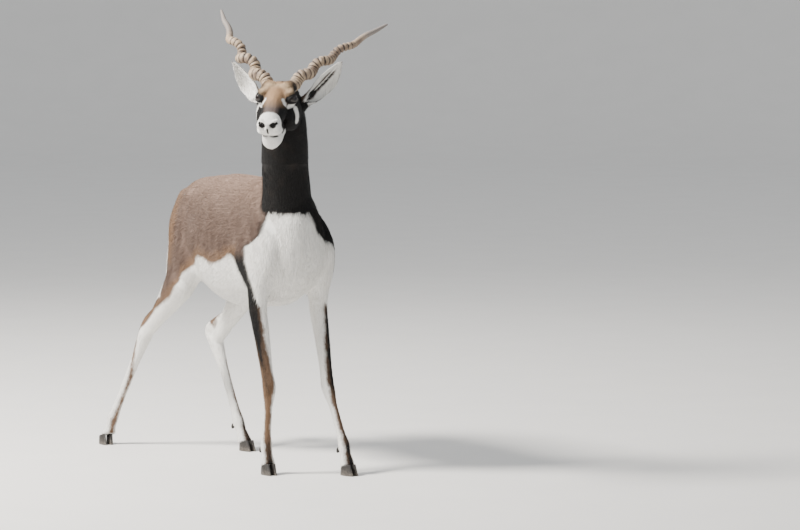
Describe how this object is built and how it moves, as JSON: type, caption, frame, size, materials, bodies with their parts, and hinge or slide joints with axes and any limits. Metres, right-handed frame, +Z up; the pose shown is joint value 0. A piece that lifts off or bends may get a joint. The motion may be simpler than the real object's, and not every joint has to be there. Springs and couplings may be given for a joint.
{
  "type": "blackbuck",
  "caption": "Life-size still model of an adult male blackbuck standing with its head turned, with long spiral horns.",
  "frame": {"origin": "on the floor, at the middle of the animal's footprint box", "axes": "+Z up; the animal faces -Y and its left side is towards +X, with its head turned to its own right"},
  "size_m": [0.4746, 1.0512, 1.277],
  "materials": {
    "coat_body": "short flat fur, brown above and white below",
    "coat_neck": "short flat fur, black, white on the chest",
    "coat_face": "very short fur, black face with white eye rings and muzzle",
    "coat_ears": "short fur, white inside and tan behind",
    "coat_legs": "short flat fur, dark outside, white inside",
    "horns": "ringed horn, brown grey, smooth at the tips",
    "eyes": "wet, very dark brown",
    "hooves": "worn black hoof horn"
  },
  "bodies": {
    "root": {"torso": "coat_body", "neck": "coat_neck", "head": "coat_face", "tail": "coat_body", "ear_left": "coat_ears", "eye_left": "eyes", "horn_left": "horns", "ear_right": "coat_ears", "eye_right": "eyes", "horn_right": "horns", "leg_fore_left_upper": "coat_legs", "leg_fore_left_cannon": "coat_legs", "leg_fore_left_pastern": "coat_legs", "hoof_fore_left_inner": "hooves", "dewclaw_fore_left_inner": "hooves", "hoof_fore_left_outer": "hooves", "dewclaw_fore_left_outer": "hooves", "leg_fore_right_upper": "coat_legs", "leg_fore_right_cannon": "coat_legs", "leg_fore_right_pastern": "coat_legs", "hoof_fore_right_inner": "hooves", "dewclaw_fore_right_inner": "hooves", "hoof_fore_right_outer": "hooves", "dewclaw_fore_right_outer": "hooves", "leg_hind_left_upper": "coat_legs", "leg_hind_left_cannon": "coat_legs", "leg_hind_left_pastern": "coat_legs", "hoof_hind_left_inner": "hooves", "dewclaw_hind_left_inner": "hooves", "hoof_hind_left_outer": "hooves", "dewclaw_hind_left_outer": "hooves", "leg_hind_right_upper": "coat_legs", "leg_hind_right_cannon": "coat_legs", "leg_hind_right_pastern": "coat_legs", "hoof_hind_right_inner": "hooves", "dewclaw_hind_right_inner": "hooves", "hoof_hind_right_outer": "hooves", "dewclaw_hind_right_outer": "hooves"}
  },
  "joints": []
}
